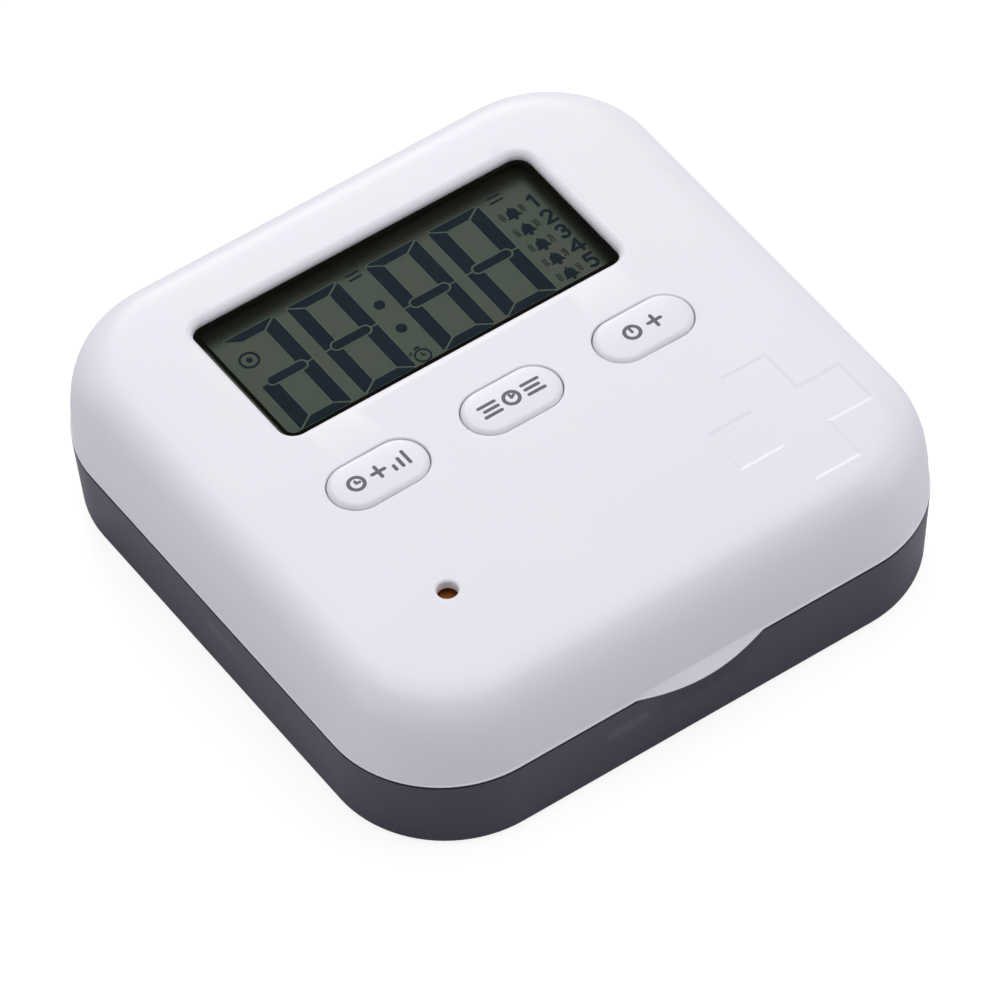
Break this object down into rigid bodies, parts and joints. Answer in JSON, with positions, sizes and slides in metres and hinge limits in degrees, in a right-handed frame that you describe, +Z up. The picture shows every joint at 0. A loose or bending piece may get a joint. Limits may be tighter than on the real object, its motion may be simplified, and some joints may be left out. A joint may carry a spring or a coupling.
{
  "type": "electronic pill box",
  "caption": "Square clamshell pill box with a hinged lid that holds a timer display, oval keys, a sounder and a battery bay, over a base divided into pockets.",
  "frame": {"origin": "centre of the base's underside", "axes": "+Z up through the closed lid, +X to the right as the display reads, +Y from the finger lip to the hinge"},
  "size_m": [0.088, 0.0942, 0.0262],
  "materials": {
    "white_plastic": "satin moulded",
    "key_plastic": "satin moulded",
    "smoky_plastic": "satin, slightly see-through",
    "clear_plastic": "polished clear",
    "display_glass": "polished",
    "foil": "satin reflective film",
    "black_rubber": "matte",
    "board_laminate": "satin coated",
    "resin": "glossy cast",
    "steel": "nickel plated",
    "brass": "satin",
    "ceramic": "silvered",
    "cell_jacket": "printed film, plain",
    "switch_plastic": "matte moulded",
    "stem_plastic": "matte moulded",
    "red_sleeve": "soft insulation",
    "black_sleeve": "soft insulation"
  },
  "bodies": {
    "base": {"base_shell": "smoky_plastic", "compartment_divider": "smoky_plastic", "hinge_pin": "steel"},
    "lid": {"lid_shell": "white_plastic", "lid_inner_cover": "white_plastic", "display_window": "clear_plastic", "lcd_glass": "display_glass", "lcd_reflector": "foil", "lcd_frame": "white_plastic", "lcd_connector_front": "black_rubber", "lcd_connector_back": "black_rubber", "circuit_board": "board_laminate", "controller_chip": "resin", "quartz_crystal": "steel", "battery_cell_back": "cell_jacket", "battery_cell_front": "cell_jacket", "battery_contact_bridge": "steel", "battery_contact_plus": "steel", "battery_contact_minus": "steel", "battery_spring_back": "steel", "battery_spring_front": "steel", "sounder_gasket": "black_rubber", "sounder_disc": "brass", "sounder_ceramic": "ceramic", "sounder_retainer": "white_plastic", "battery_lead_plus": "red_sleeve", "battery_lead_minus": "black_sleeve", "sounder_lead_plus": "red_sleeve", "sounder_lead_minus": "black_sleeve", "cover_screw_back_left": "steel", "cover_screw_back_right": "steel", "cover_screw_front_left": "steel", "cover_screw_right": "steel", "board_screw_front_left": "steel", "board_screw_front_right": "steel", "board_screw_back_left": "steel", "board_screw_back_right": "steel", "hour_key_switch": "switch_plastic", "set_key_switch": "switch_plastic", "minute_key_switch": "switch_plastic"},
    "battery_door": {"battery_door": "white_plastic"},
    "hour_key": {"hour_key": "key_plastic", "hour_key_switch_stem": "stem_plastic"},
    "set_key": {"set_key": "key_plastic", "set_key_switch_stem": "stem_plastic"},
    "minute_key": {"minute_key": "key_plastic", "minute_key_switch_stem": "stem_plastic"}
  },
  "joints": [
    {"name": "lid_hinge", "type": "hinge", "parent": "base", "child": "lid", "pos_m": [0, 0.04655, 0.0119], "axis": [-1, 0, 0], "range_deg": [0, 110]},
    {"name": "battery_door_slide", "type": "slide", "parent": "lid", "child": "battery_door", "axis": [-1, 0, 0], "range_m": [0, 0.002]},
    {"name": "hour_key_press", "type": "slide", "parent": "lid", "child": "hour_key", "axis": [0, 0, -1], "range_m": [0, 0.0005], "stiffness_N_per_m": 200, "springref_m": -0.0005},
    {"name": "set_key_press", "type": "slide", "parent": "lid", "child": "set_key", "axis": [0, 0, -1], "range_m": [0, 0.0005], "stiffness_N_per_m": 200, "springref_m": -0.0005},
    {"name": "minute_key_press", "type": "slide", "parent": "lid", "child": "minute_key", "axis": [0, 0, -1], "range_m": [0, 0.0005], "stiffness_N_per_m": 200, "springref_m": -0.0005}
  ]
}
